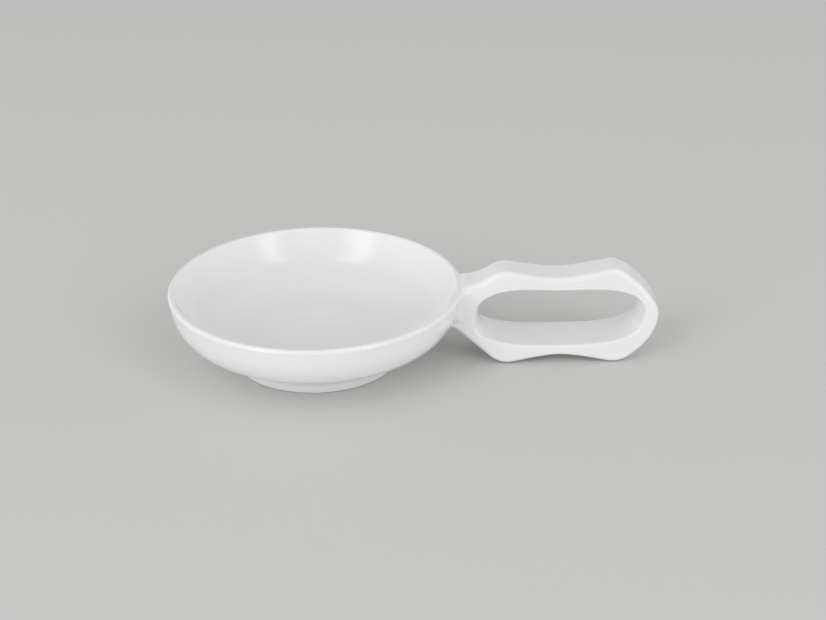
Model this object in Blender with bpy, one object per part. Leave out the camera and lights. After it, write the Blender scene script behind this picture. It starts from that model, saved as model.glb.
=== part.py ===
"""White porcelain sauce dish with an upright loop handle whose hollowed top edge rests chopsticks.

The dish is modelled as it is made: a turned bowl, a turned foot ring, a cast loop handle whose neck is cut to
fit the bowl's wall, and the bead of slip that lutes the neck on. Sizes are in metres and +Z is up. The dish
stands on Z = 0 with the handle along +X, and the origin is under the middle of the whole outline.
"""

import math

import bmesh
import bpy
from mathutils import Vector

# Bowl
RIM_RADIUS = 0.0390
RIM_HEIGHT = 0.0208
WALL_THICKNESS = 0.0028  # at the knuckle, from where the wall thins up to the lip
LIP_THICKNESS = 0.0018
WALL_LEAN = math.radians(10.2)  # outwards, from upright
WALL_DROP = 0.0098  # from the rim down to where the wall's line meets the underside's
KNUCKLE_RADIUS = 0.0115
FLOOR_THICKNESS = 0.0036
FLOOR_FULLNESS = 2.2  # how squarely the well's floor turns up, as a conic's weight

# Foot ring
FOOT_RADIUS = 0.0222
FOOT_WIDTH = 0.0040
FOOT_HEIGHT = 0.0022
FOOT_ROUND = 0.0005
FOOT_STEP = 0.0008  # the ring stands this far out of the bowl's underside

# Loop handle, with lengths along X counted outwards from the rim
TOP_REACH = 0.0103  # rim to the near upper peak
TOP_SPAN = 0.0299  # near upper peak to the far one
FOOT_REACH = 0.0099  # rim to the near lower peak
FOOT_SPAN = 0.0315  # near lower peak to the far one
HANDLE_REACH = 0.0520  # rim to the nose
HANDLE_HEIGHT = 0.0258
HANDLE_LIFT = -0.0002  # level of the lower peaks before their rounding, which lifts them off the table
NOSE_LEVEL = 0.0134
TOP_HOLLOW = 0.0023  # between the upper peaks
FOOT_HOLLOW = 0.0025  # between the lower peaks
HOLLOW_SOFTNESS = 0.31  # low for straight flanks and a tight middle, high for an even bow
SHOULDER_DIP = math.radians(6.0)  # at the far peak, above
SHOULDER_FULLNESS = 0.305
HEEL_DIP = math.radians(30.0)  # at the far peak, below
HEEL_FULLNESS = 0.97
HANDLE_DEPTH_TOP = 0.0090
HANDLE_DEPTH_FOOT = 0.0161
EDGE_ROUND = 0.0012

# How far the rounding of each corner of the loop's outline reaches along its sides
FAR_TOP_CUT = 0.0008
NEAR_TOP_CUT = 0.0025
NECK_CUT = 0.0035
NEAR_FOOT_CUT = 0.0040
FAR_FOOT_CUT = 0.0032

# Neck between the handle and the bowl
NECK_HEIGHT = 0.0120  # at the rim, from the rim's level down to the undercut
NECK_SLOPE = math.radians(31.5)
NECK_OVERRUN = 0.0080  # how far the uncut neck runs into the bowl's form, if its end stays high enough

# Finger hole inside the loop
ROOT_WEB = 0.0043  # clay left between the rim's radius and the hole's waist, half way through
NOSE_STRAP = 0.0053
HOLE_EDGE_ROUND = 0.0006
HOLE_FLARE = 0.0018  # how much further the hole reaches at each end on the side faces than at its waist
TOP_STRAP = 0.0033
FOOT_STRAP = 0.00285
CEILING_SAG = 0.0020
CEILING_SQUARENESS = 2.32  # exponents of the oval's upper and lower half
FLOOR_SQUARENESS = 2.95

# Slip joints
SLIP_GAP = 0.0003
BEAD_LEG = 0.0025  # width of the bead on the neck's sides, along the neck and along the bowl
BEAD_UNDER_LEG = 0.0009  # under the neck
BEAD_END_LEG = 0.0010  # at its ends, under the lip
BEAD_TAPER = 0.0030
BEAD_EDGE = 0.0002

# Facets and limits
TURN_STEPS = 72
LIP_STEPS = 4
KNUCKLE_STEPS = 7
FLOOR_STEPS = 9
ROUND_STEPS = 4
NOSE_STEPS = 12
SADDLE_STEPS = 14
SLOPE_STEPS = 8
NECK_STEPS = 3
FINE_STEPS = 60
END_STEPS = 5
EDGE_STEPS = 3
BEAD_STEPS = 6
BORE_STEPS = 4
HALVINGS = 40
MERGE_DISTANCE = 0.00001
SHARP_ANGLE = math.radians(40.0)
CORNER_SHARE = 0.45  # most of a side that one corner's rounding takes
BEND_SHARE = 0.95  # most of the wall or the underside that the knuckle takes
END_STEP_SHARE = 0.78  # least step down the uncut neck's end, as a share of its edges' radius

# Places that follow from the sizes above
LIP_RADIUS = LIP_THICKNESS / 2
LIP_CENTRE = Vector((RIM_RADIUS - LIP_RADIUS, RIM_HEIGHT - LIP_RADIUS))
BASE_RADIUS = FOOT_RADIUS - FOOT_STEP
FLOOR_LEVEL = FOOT_HEIGHT + FLOOR_THICKNESS
NEAR_TOP_X = RIM_RADIUS + TOP_REACH
FAR_TOP_X = NEAR_TOP_X + TOP_SPAN
NEAR_FOOT_X = RIM_RADIUS + FOOT_REACH
FAR_FOOT_X = NEAR_FOOT_X + FOOT_SPAN
NOSE_X = RIM_RADIUS + HANDLE_REACH
BOWL_X = (RIM_RADIUS - NOSE_X) / 2
NECK_FLOOR = RIM_HEIGHT - NECK_HEIGHT
EDGE_RADIUS = min(EDGE_ROUND, CORNER_SHARE * min(TOP_STRAP, FOOT_STRAP))

# Finish, one glaze over every piece and a bare ring where the dish stands
GLAZE_COLOUR = (0.82, 0.82, 0.81, 1.0)
FOOT_COLOUR = (0.80, 0.79, 0.77, 1.0)
GLAZE_ROUGHNESS = 0.12
FOOT_ROUGHNESS = 0.35


def clear_scene():
    """Remove every object so that only the dish is left in the file."""
    for old in list(bpy.data.objects):
        bpy.data.objects.remove(old, do_unlink=True)


def glaze(name, colour, roughness):
    """One Principled material for one piece."""
    material = bpy.data.materials.new(name)
    material.use_nodes = True
    shader = material.node_tree.nodes["Principled BSDF"]
    shader.inputs["Base Color"].default_value = colour
    shader.inputs["Roughness"].default_value = roughness
    shader.inputs["Metallic"].default_value = 0.0
    return material


def add_piece(name, mesh, material, axis):
    """Put a mesh into the scene under its own name, carried by the bowl's axis."""
    piece = bpy.data.objects.new(name, mesh)
    bpy.context.scene.collection.objects.link(piece)
    piece.parent = axis
    mesh.materials.append(material)
    mesh.shade_smooth()
    mesh.set_sharp_from_angle(angle=SHARP_ANGLE)
    return piece


def make_guide(piece):
    """Mark a piece as a cutting form that isn't part of the dish."""
    piece.hide_render = True
    piece.display_type = "WIRE"


def turn(piece):
    """Turn a profile once round Z."""
    screw = piece.modifiers.new("turning", "SCREW")
    screw.axis = "Z"
    screw.angle = math.tau
    screw.steps = TURN_STEPS
    screw.render_steps = TURN_STEPS
    screw.use_merge_vertices = True
    screw.merge_threshold = MERGE_DISTANCE
    screw.use_smooth_shade = True


def profile_mesh(name, points, closed):
    """A line of points in the XZ plane, ready to be turned."""
    mesh = bpy.data.meshes.new(name)
    edges = [(i, i + 1) for i in range(len(points) - 1)]
    if closed:
        edges.append((len(points) - 1, 0))
    mesh.from_pydata([(p[0], 0.0, p[1]) for p in points], edges, [])
    return mesh


def arc(centre, radius, start, end, steps):
    """Points on a circle from one angle to another, both included."""
    angles = [start + (end - start) * i / steps for i in range(steps + 1)]
    return [centre + radius * Vector((math.cos(a), math.sin(a))) for a in angles]


def conic(start, control, end, fullness, steps):
    """Points on a conic that leaves start and reaches end along the lines to control."""
    points = []
    for i in range(steps + 1):
        t = i / steps
        a = (1 - t) ** 2
        b = 2 * fullness * t * (1 - t)
        c = t ** 2
        points.append((a * start + b * control + c * end) / (a + b + c))
    return points


def knuckle():
    """Centre, radius and lower slope of the bend between the steep wall and the conical underside."""
    lean = math.tan(WALL_LEAN)
    wall_foot = LIP_CENTRE + LIP_RADIUS * Vector((math.cos(WALL_LEAN), -math.sin(WALL_LEAN)))
    bend_z = RIM_HEIGHT - WALL_DROP
    bend = Vector((wall_foot.x - (wall_foot.y - bend_z) * lean, bend_z))
    base = Vector((BASE_RADIUS, FOOT_HEIGHT))
    slope = math.atan2(bend.y - base.y, bend.x - base.x)
    half_turn = (math.pi / 2 - WALL_LEAN - slope) / 2
    room = min((wall_foot - bend).length, (base - bend).length)
    radius = min(KNUCKLE_RADIUS, BEND_SHARE * room / math.tan(half_turn))
    inward = Vector((-math.cos(WALL_LEAN), math.sin(WALL_LEAN)))
    up_wall = Vector((math.sin(WALL_LEAN), math.cos(WALL_LEAN)))
    centre = bend + up_wall * radius * math.tan(half_turn) + inward * radius
    return centre, radius, slope


def outer_profile(grow):
    """The bowl's outside from the top of the lip down to its base, moved outwards by grow."""
    centre, radius, slope = knuckle()
    lip = arc(LIP_CENTRE, LIP_RADIUS + grow, math.pi / 2, 0.0, LIP_STEPS)
    lip += arc(LIP_CENTRE, LIP_RADIUS + grow, 0.0, -WALL_LEAN, 1)[1:]
    bend = arc(centre, radius + grow, -WALL_LEAN, slope - math.pi / 2, KNUCKLE_STEPS)
    base = Vector((BASE_RADIUS + grow * math.tan(slope / 2), FOOT_HEIGHT - grow))
    return lip + bend + [base]


def inner_profile():
    """The well from its middle out to the lip: a shallow floor, the inside of the knuckle and the wall, whose
    line touches the knuckle and the lip."""
    centre, radius, slope = knuckle()
    inside = radius - WALL_THICKNESS
    across = LIP_CENTRE - centre
    lean = math.acos((inside + LIP_RADIUS) / across.length) - math.atan2(across.y, across.x)
    bend = arc(centre, inside, slope - math.pi / 2, -lean, KNUCKLE_STEPS)
    middle = Vector((0.0, FLOOR_LEVEL))
    rise = bend[0].y - FLOOR_LEVEL
    control = Vector((bend[0].x - rise / math.tan(slope), FLOOR_LEVEL))
    floor = conic(middle, control, bend[0], FLOOR_FULLNESS, FLOOR_STEPS)
    lip = arc(LIP_CENTRE, LIP_RADIUS, math.pi - lean, math.pi / 2, LIP_STEPS)
    return floor[:-1] + bend + lip


def dish_bowl(axis):
    """The turned bowl."""
    base_middle = Vector((0.0, FOOT_HEIGHT))
    points = inner_profile() + outer_profile(0.0)[1:] + [base_middle]
    mesh = profile_mesh("dish_bowl", points, closed=False)
    turn(add_piece("dish_bowl", mesh, glaze("bowl_glaze", GLAZE_COLOUR, GLAZE_ROUGHNESS), axis))


def foot_ring(axis):
    """The turned ring under the bowl, flat where it stands and rounded at both lower edges."""
    top = FOOT_HEIGHT - SLIP_GAP
    inner = FOOT_RADIUS - FOOT_WIDTH
    outer_round = Vector((FOOT_RADIUS - FOOT_ROUND, FOOT_ROUND))
    inner_round = Vector((inner + FOOT_ROUND, FOOT_ROUND))
    points = [Vector((inner, top)), Vector((FOOT_RADIUS, top))]
    points += arc(outer_round, FOOT_ROUND, 0.0, -math.pi / 2, ROUND_STEPS)
    points += arc(inner_round, FOOT_ROUND, -math.pi / 2, -math.pi, ROUND_STEPS)
    mesh = profile_mesh("foot_ring", points, closed=True)
    turn(add_piece("foot_ring", mesh, glaze("foot_glaze", FOOT_COLOUR, FOOT_ROUGHNESS), axis))


def bowl_form(axis):
    """The bowl's outside as a solid, one slip gap larger, which cuts the neck's seat."""
    outside = outer_profile(SLIP_GAP)
    points = [Vector((0.0, outside[0].y))] + outside + [Vector((0.0, outside[-1].y))]
    mesh = profile_mesh("bowl_form", points, closed=False)
    form = add_piece("bowl_form", mesh, glaze("form", GLAZE_COLOUR, GLAZE_ROUGHNESS), axis)
    turn(form)
    make_guide(form)
    return form


def half_depth(z):
    """Half the handle's depth along Y, which tapers from its foot to its top."""
    share = (z - HANDLE_LIFT) / (HANDLE_HEIGHT - HANDLE_LIFT)
    return (HANDLE_DEPTH_FOOT + (HANDLE_DEPTH_TOP - HANDLE_DEPTH_FOOT) * share) / 2


def hollowed_edge(start, end, hollow):
    """Points of the hollow between two peaks, a hyperbola's branch that is deepest half way."""
    most = math.hypot(1.0, HOLLOW_SOFTNESS)
    points = []
    for i in range(FINE_STEPS + 1):
        across = 2 * i / FINE_STEPS - 1
        share = (most - math.hypot(across, HOLLOW_SOFTNESS)) / (most - HOLLOW_SOFTNESS)
        points.append(start.lerp(end, i / FINE_STEPS) + Vector((0.0, hollow * share)))
    return points


def neck_undercut():
    """Direction of the neck's lower line, from the near lower peak up to the bowl."""
    return Vector((-FOOT_REACH, NECK_FLOOR - HANDLE_LIFT)).normalized()


def point_along(path, place):
    """The point of a path at a length from its start."""
    for p, following in zip(path, path[1:]):
        step = (following - p).length
        if place <= step:
            return p.lerp(following, place / step)
        place -= step
    return path[-1].copy()


def trimmed(path, before, after, steps):
    """Evenly spaced points of a side, without what the corners at its ends take, limited by its length."""
    length = sum((following - p).length for p, following in zip(path, path[1:]))
    first = min(before, CORNER_SHARE * length)
    last = length - min(after, CORNER_SHARE * length)
    return [point_along(path, first + (last - first) * i / steps) for i in range(steps + 1)]


def loop_sides():
    """Sides of the loop seen from the front, anticlockwise from its nose, with their cut ends and steps."""
    nose = Vector((NOSE_X, NOSE_LEVEL))
    top_far = Vector((FAR_TOP_X, HANDLE_HEIGHT))
    top_near = Vector((NEAR_TOP_X, HANDLE_HEIGHT))
    foot_near = Vector((NEAR_FOOT_X, HANDLE_LIFT))
    foot_far = Vector((FAR_FOOT_X, HANDLE_LIFT))
    nose_top = Vector((NOSE_X, HANDLE_HEIGHT - (NOSE_X - FAR_TOP_X) * math.tan(SHOULDER_DIP)))
    nose_foot = Vector((NOSE_X, HANDLE_LIFT + (NOSE_X - FAR_FOOT_X) * math.tan(HEEL_DIP)))
    drop = HANDLE_HEIGHT - RIM_HEIGHT
    neck_bend = Vector((NEAR_TOP_X - drop / math.tan(NECK_SLOPE), RIM_HEIGHT))
    undercut = neck_undercut()
    overrun = min(NECK_OVERRUN, (NECK_HEIGHT - 2 * EDGE_RADIUS) * abs(undercut.x / undercut.y))
    neck_top = Vector((RIM_RADIUS - overrun, RIM_HEIGHT))
    neck_foot = foot_near + undercut * (neck_top.x - foot_near.x) / undercut.x
    end_steps = int((neck_top - neck_foot).length / (END_STEP_SHARE * EDGE_RADIUS))
    shoulder = conic(nose, nose_top, top_far, SHOULDER_FULLNESS, FINE_STEPS)
    heel = conic(foot_far, nose_foot, nose, HEEL_FULLNESS, FINE_STEPS)
    return [
        (shoulder, 0.0, FAR_TOP_CUT, NOSE_STEPS),
        (hollowed_edge(top_far, top_near, -TOP_HOLLOW), FAR_TOP_CUT, NEAR_TOP_CUT, SADDLE_STEPS),
        ([top_near, neck_bend], NEAR_TOP_CUT, NECK_CUT, NECK_STEPS),
        ([neck_bend, neck_top], NECK_CUT, 0.0, 1),
        ([neck_top, neck_foot], 0.0, 0.0, max(1, min(END_STEPS, end_steps))),
        ([neck_foot, foot_near], 0.0, NEAR_FOOT_CUT, SLOPE_STEPS),
        (hollowed_edge(foot_near, foot_far, FOOT_HOLLOW), NEAR_FOOT_CUT, FAR_FOOT_CUT, SADDLE_STEPS),
        (heel, FAR_FOOT_CUT, 0.0, NOSE_STEPS),
    ]


def loop_outline():
    """The loop's outline: its sides, joined by curves that have the cut corners as control points."""
    points = []
    for side, before, after, steps in loop_sides():
        kept = trimmed(side, before, after, steps)
        if before:
            points += conic(points[-1], side[0], kept[0], 1.0, ROUND_STEPS)[1:-1]
        points += kept if before or not points else kept[1:]
    return points[:-1]


def hole_outlines(face_border):
    """The finger hole's waist and its mouth: on the ray from the hole's middle to each point of the side
    face's border, a point of a squared oval, and the same point further out towards the hole's ends."""
    left = RIM_RADIUS + ROOT_WEB
    right = NOSE_X - NOSE_STRAP
    floor = HANDLE_LIFT + FOOT_HOLLOW + FOOT_STRAP
    ceiling = HANDLE_HEIGHT - TOP_HOLLOW - TOP_STRAP + CEILING_SAG
    half_length = (right - left) / 2
    half_height = (ceiling - floor) / 2
    middle = Vector(((left + right) / 2, (floor + ceiling) / 2))
    waist = []
    mouth = []
    for p in face_border:
        angle = math.atan2((p.y - middle.y) / half_height, (p.x - middle.x) / half_length)
        along = math.cos(angle)
        up = math.sin(angle)
        squareness = CEILING_SQUARENESS if up > 0 else FLOOR_SQUARENESS
        reach = (abs(along) ** squareness + abs(up) ** squareness) ** (-1 / squareness)
        sag = CEILING_SAG * (1 - (reach * along) ** 2) ** 2 if up > 0 else 0.0
        waist.append(middle + Vector((half_length * reach * along, half_height * reach * up - sag)))
        mouth.append(waist[-1] + Vector((HOLE_FLARE * (reach * along) ** 3, 0.0)))
    return waist, mouth


def side_normals(points):
    """Directions square to a closed outline at each of its points, on its right-hand side."""
    normals = []
    for i, p in enumerate(points):
        along = (points[(i + 1) % len(points)] - p).normalized() + (p - points[i - 1]).normalized()
        normals.append(Vector((along.y, -along.x)).normalized())
    return normals


def rounded_edge(points, radius, side):
    """Rails that carry a rounded edge from an outline over to one side face, with the clay on the left of the
    outline for a radius above zero and on its right for one below."""
    normals = side_normals(points)
    rails = []
    for k in range(EDGE_STEPS + 1):
        angle = math.pi / 2 * k / EDGE_STEPS
        inset = radius * (1 - math.cos(angle))
        sunk = abs(radius) * (1 - math.sin(angle))
        moved = [p - n * inset for p, n in zip(points, normals)]
        rails.append([Vector((p.x, side * (half_depth(p.y) - sunk), p.y)) for p in moved])
    return rails


def bore_rails(waist, mouth):
    """Rails through the finger hole, which narrows evenly curved to its waist half way."""
    rails = []
    for k in range(1, BORE_STEPS):
        across = 2 * k / BORE_STEPS - 1
        rail = [p.lerp(q, across ** 2) for p, q in zip(waist, mouth)]
        rails.append([Vector((p.x, across * half_depth(p.y), p.y)) for p in rail])
    return rails


def handle_loop(axis, form):
    """The loop: rails round its outside, front face, hole and back face, skinned, then cut to the bowl."""
    outline = loop_outline()
    face_border = [p - n * EDGE_RADIUS for p, n in zip(outline, side_normals(outline))]
    waist, mouth = hole_outlines(face_border)
    rails = rounded_edge(outline, EDGE_RADIUS, -1)
    rails += reversed(rounded_edge(mouth, -HOLE_EDGE_ROUND, -1))
    rails += bore_rails(waist, mouth)
    rails += rounded_edge(mouth, -HOLE_EDGE_ROUND, 1)
    rails += reversed(rounded_edge(outline, EDGE_RADIUS, 1))
    count = len(outline)
    shell = bmesh.new()
    rings = [[shell.verts.new(p) for p in rail] for rail in rails]
    for k, ring in enumerate(rings):
        before = rings[k - 1]
        for i in range(count):
            j = (i + 1) % count
            shell.faces.new((before[i], before[j], ring[j], ring[i]))
    bmesh.ops.recalc_face_normals(shell, faces=shell.faces)
    mesh = bpy.data.meshes.new("handle_loop")
    shell.to_mesh(mesh)
    shell.free()
    piece = add_piece("handle_loop", mesh, glaze("handle_glaze", GLAZE_COLOUR, GLAZE_ROUGHNESS), axis)
    seat = piece.modifiers.new("seat", "BOOLEAN")
    seat.operation = "DIFFERENCE"
    seat.solver = "EXACT"
    seat.object = form


def wall_radius(z, lift):
    """Radius of the bowl's outside at a height, moved outwards by lift."""
    points = outer_profile(lift)
    for upper, lower in zip(points, points[1:]):
        if lower.y <= z <= upper.y:
            return lower.x + (upper.x - lower.x) * (z - lower.y) / (upper.y - lower.y)
    return points[0].x if z > points[0].y else points[-1].x


def wall_normal(p):
    """Outward direction of the bowl's outside next to a point."""
    step = SLIP_GAP
    flare = (wall_radius(p.z + step, 0.0) - wall_radius(p.z - step, 0.0)) / (2 * step)
    out = Vector((p.x, p.y, 0.0)).normalized()
    return (out - Vector((0.0, 0.0, flare))).normalized()


def on_wall(p, lift):
    """The point moved straight in or out from the bowl's axis until it is lift away from the wall."""
    share = wall_radius(p.z, lift) / math.hypot(p.x, p.y)
    return Vector((p.x * share, p.y * share, p.z))


def meet_wall(start, along):
    """Where a line on the neck meets the bowl's wall, by halving."""
    near = -NECK_OVERRUN
    far = NECK_OVERRUN
    for _ in range(HALVINGS):
        middle = (near + far) / 2
        p = start + along * middle
        if math.hypot(p.x, p.y) < wall_radius(p.z, 0.0):
            near = middle
        else:
            far = middle
    return start + along * middle


def neck_roots():
    """Root points, neck directions and bead widths round the near half, from the lip to under the neck."""
    draft = math.atan2((HANDLE_DEPTH_FOOT - HANDLE_DEPTH_TOP) / 2, HANDLE_HEIGHT - HANDLE_LIFT)
    side_normal = Vector((0.0, -math.cos(draft), math.sin(draft)))
    undercut = neck_undercut()
    away = Vector((-undercut.x, 0.0, -undercut.y))
    under_normal = Vector((-undercut.y, 0.0, undercut.x))
    edge = Vector((RIM_RADIUS, -half_depth(NECK_FLOOR), NECK_FLOOR))
    lengthwise = side_normal.cross(under_normal).normalized()
    if lengthwise.x < 0:
        lengthwise.negate()
    centre = edge - (side_normal + under_normal) * EDGE_RADIUS / (1 + side_normal.dot(under_normal))
    rounding = []
    for i in range(ROUND_STEPS + 1):
        share = i / ROUND_STEPS
        normal = side_normal.slerp(under_normal, share)
        root = meet_wall(centre + normal * EDGE_RADIUS, lengthwise)
        rounding.append((root, normal, BEAD_LEG + (BEAD_UNDER_LEG - BEAD_LEG) * share))
    top_z = LIP_CENTRE.y
    low_z = rounding[0][0].z
    roots = []
    for i in range(BEAD_STEPS):
        z = top_z + (low_z - top_z) * i / BEAD_STEPS
        taper = min((top_z - z) / BEAD_TAPER, 1.0)
        root = meet_wall(Vector((RIM_RADIUS, -half_depth(z), z)), Vector((1.0, 0.0, 0.0)))
        roots.append((root, side_normal, BEAD_END_LEG + (BEAD_LEG - BEAD_END_LEG) * taper))
    roots += rounding
    last_y = rounding[-1][0].y
    for i in range(1, BEAD_STEPS):
        start = Vector((RIM_RADIUS, last_y * (1 - i / (BEAD_STEPS - 1)), NECK_FLOOR))
        roots.append((meet_wall(start, away), under_normal, BEAD_UNDER_LEG))
    return roots


def bead_section(root, neck_normal, leg):
    """Hollow three-sided section of the bead, a slip gap clear of the neck and of the wall."""
    bowl_normal = wall_normal(root)
    on_neck = (bowl_normal - bowl_normal.dot(neck_normal) * neck_normal).normalized()
    on_bowl = (neck_normal - neck_normal.dot(bowl_normal) * bowl_normal).normalized()
    opening = on_bowl.dot(neck_normal)
    skin = SLIP_GAP + BEAD_EDGE
    corner = root + (on_neck + on_bowl) * SLIP_GAP / opening
    neck_tip = root + on_neck * leg + neck_normal * SLIP_GAP
    neck_edge = root + on_neck * leg + neck_normal * skin
    bowl_edge = on_wall(root + on_bowl * leg, skin)
    bowl_tip = on_wall(root + on_bowl * leg, SLIP_GAP)
    bowl_mid = on_wall(root + on_bowl * leg / 2, SLIP_GAP)
    hollow = root + (on_neck + on_bowl) * skin / opening
    curve = conic(neck_edge, hollow, bowl_edge, 1.0, ROUND_STEPS)
    return [corner, neck_tip] + curve + [bowl_tip, bowl_mid]


def handle_luting_fillet(axis):
    """The bead of slip: its section carried round the neck's root, mirrored about the handle's middle."""
    near = [bead_section(root, normal, leg) for root, normal, leg in neck_roots()]
    far = [[Vector((p.x, -p.y, p.z)) for p in section] for section in reversed(near[:-1])]
    bead = bmesh.new()
    loops = [[bead.verts.new(p) for p in section] for section in near + far]
    size = len(loops[0])
    for loop, following in zip(loops, loops[1:]):
        for i in range(size):
            j = (i + 1) % size
            bead.faces.new((loop[i], loop[j], following[j], following[i]))
    bead.faces.new(loops[0])
    bead.faces.new(loops[-1])
    bmesh.ops.recalc_face_normals(bead, faces=bead.faces)
    mesh = bpy.data.meshes.new("handle_luting_fillet")
    bead.to_mesh(mesh)
    bead.free()
    add_piece("handle_luting_fillet", mesh, glaze("fillet_glaze", GLAZE_COLOUR, GLAZE_ROUGHNESS), axis)


def main():
    """Build the dish."""
    clear_scene()
    axis = bpy.data.objects.new("bowl_axis", None)
    bpy.context.scene.collection.objects.link(axis)
    axis.location = (BOWL_X, 0.0, 0.0)
    form = bowl_form(axis)
    dish_bowl(axis)
    foot_ring(axis)
    handle_loop(axis, form)
    handle_luting_fillet(axis)


main()
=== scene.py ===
"""Looks of a white porcelain sauce dish whose loop handle rests chopsticks.

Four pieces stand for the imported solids: the turned bowl, the foot ring with its bare standing edge, the loop
handle, and the hollow fillet of slip between the two. Each is a surface worked out from the sizes below, in
metres. Lengths along X are counted outwards from the bowl's axis until a piece is put in its place.
"""

import math

import bpy
import numpy as np
from mathutils import Matrix, Vector


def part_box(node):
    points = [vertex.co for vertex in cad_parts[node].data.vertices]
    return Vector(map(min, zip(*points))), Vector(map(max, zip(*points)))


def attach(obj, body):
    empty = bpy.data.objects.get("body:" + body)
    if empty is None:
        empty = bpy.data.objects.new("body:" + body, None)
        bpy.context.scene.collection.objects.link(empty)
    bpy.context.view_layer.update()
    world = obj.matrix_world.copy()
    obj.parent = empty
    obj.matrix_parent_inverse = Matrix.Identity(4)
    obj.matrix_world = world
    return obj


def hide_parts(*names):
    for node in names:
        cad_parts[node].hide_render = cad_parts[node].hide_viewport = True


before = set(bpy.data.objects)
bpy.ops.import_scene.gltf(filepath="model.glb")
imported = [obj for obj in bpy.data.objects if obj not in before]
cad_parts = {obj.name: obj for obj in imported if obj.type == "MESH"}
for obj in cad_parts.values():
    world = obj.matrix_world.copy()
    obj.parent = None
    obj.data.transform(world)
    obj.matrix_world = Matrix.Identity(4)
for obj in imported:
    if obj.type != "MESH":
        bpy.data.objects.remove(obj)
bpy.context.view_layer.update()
bowl_low, bowl_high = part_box("dish_bowl")
foot_low, foot_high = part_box("foot_ring")
loop_low, loop_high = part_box("handle_loop")

MM = 0.001

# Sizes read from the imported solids
AXIS_X = (bowl_low.x + bowl_high.x) / 2
RIM_RADIUS = (bowl_high.y - bowl_low.y) / 2
RIM_HEIGHT = bowl_high.z
BASE_HEIGHT = bowl_low.z
FOOT_RADIUS = (foot_high.y - foot_low.y) / 2
NOSE_X = loop_high.x - AXIS_X

# Curves and grids
ARC_POINTS = 40  # where no other count is given
CONIC_POINTS = 80
LINE_POINTS = 40
PARABOLA = 1.0  # fullness of a conic that is a plain parabola
BELL_REACH = 3  # how many spreads away a neighbour still counts in a softened path
LEAST_NORMAL = 1e-15  # a shorter one isn't divided by
LEAST_SPACING = 1e-6
SHARP_ANGLE = math.radians(38.0)

# Bowl: a fade is the distances where a change starts and where it is full
WALL_THICKNESS = 2.8 * MM  # at the knuckle
LIP_THICKNESS = 1.8 * MM
WALL_LEAN = math.radians(10.2)
WALL_DROP = 9.8 * MM  # from the rim to where the lines of the wall and the underside meet
KNUCKLE_RADIUS = 11.5 * MM
WELL_FLOOR_THICKNESS = 3.6 * MM
WELL_FLOOR_FULLNESS = 2.2
FOOT_STEP = 0.8 * MM  # from the foot ring's outside in to the base's corner
PROFILE_STEP = 0.05 * MM
LIP_STEP = 0.11 * MM
WELL_FLOOR_STEP = 0.75 * MM
LIP_STEP_FADE = (1.0 * MM, 9.0 * MM)  # from the lip, whose step grows to the floor's
PROFILE_SOFTNESS = 0.7 * MM
SOFTNESS_FADE = (1.2 * MM, 4.5 * MM)  # from the lip and from the base's corner
BOWL_TURNS = 288

# Foot ring
FOOT_WIDTH = 4.0 * MM
FOOT_ROUND = 0.5 * MM
FOOT_CREASE = 1.1 * MM  # radius of the glaze that fills the corner under the bowl
FOOT_SUNK = 0.004 * MM
FOOT_ROOT = 0.9 * MM  # how far the ring's hidden top stands up in the bowl's clay
FOOT_ROUND_POINTS = 12
FOOT_CREASE_POINTS = 14
FOOT_FLAT_POINTS = 10

# Loop handle: near is by the bowl, far is by the nose
NEAR_TOP_X = 49.2 * MM
FAR_TOP_X = 79.2 * MM
NEAR_FOOT_X = 48.8 * MM
FAR_FOOT_X = 80.4 * MM
HANDLE_HEIGHT = 25.8 * MM  # of the upper peaks before they are rounded
HANDLE_LIFT = -0.2 * MM  # of the lower peaks before they are rounded
NOSE_LEVEL = 13.4 * MM
TOP_HOLLOW = 2.28 * MM
FOOT_HOLLOW = 2.54 * MM
HOLLOW_SOFTNESS = 0.31
SHOULDER_DIP = math.radians(6.0)
SHOULDER_FULLNESS = 0.305
HEEL_DIP = math.radians(30.0)
HEEL_FULLNESS = 0.97
HANDLE_DEPTH_TOP = 9.0 * MM
HANDLE_DEPTH_FOOT = 16.1 * MM
NECK_TOP = 21.6 * MM
NECK_FLOOR = 8.2 * MM  # of the undercut's line at the rim's radius
NECK_SLOPE = math.radians(30.8)

# Finger hole
ROOT_WEB = 4.55 * MM  # clay between the rim and the hole
NOSE_STRAP = 5.3 * MM
TOP_STRAP = 3.38 * MM
FOOT_STRAP = 2.86 * MM
HOLE_FLARE = 1.4 * MM
HOLE_LEAN = 0.145  # shift towards the nose for each unit of height
CEILING_SAG = 1.91 * MM
HOLE_CEILING_SQUARENESS = (2.6, 2.2)  # near and far power of the squared oval, where 2 is a plain oval
HOLE_FLOOR_SQUARENESS = (2.8, 3.3)
HOLE_POINTS = 2400
HOLE_SOFTNESS = 0.4 * MM

# How far each corner of the loop's outline is cut back for its rounding, and the outline's points
FAR_TOP_CUT = 0.8 * MM
NEAR_TOP_CUT = 2.5 * MM
NECK_BEND_CUT = 3.5 * MM
NECK_DIVE_X = 40.0 * MM  # where the neck's top turns down into the lip
NECK_DIVE_CUT = 0.9 * MM
HIDDEN_END_TOP = 19.4 * MM
HIDDEN_END_DEPTH = 1.3 * MM
HIDDEN_END_CUT = 0.3 * MM
NEAR_FOOT_CUT = 4.0 * MM
FAR_FOOT_CUT = 3.2 * MM
HOLLOW_POINTS = 120
NECK_BEND_POINTS = 120
HIDDEN_END_POINTS = 400
SIDE_POINTS = 120
CORNER_POINTS = 30
OUTLINE_POINTS = 660
OUTLINE_SOFTNESS = 0.25 * MM

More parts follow.
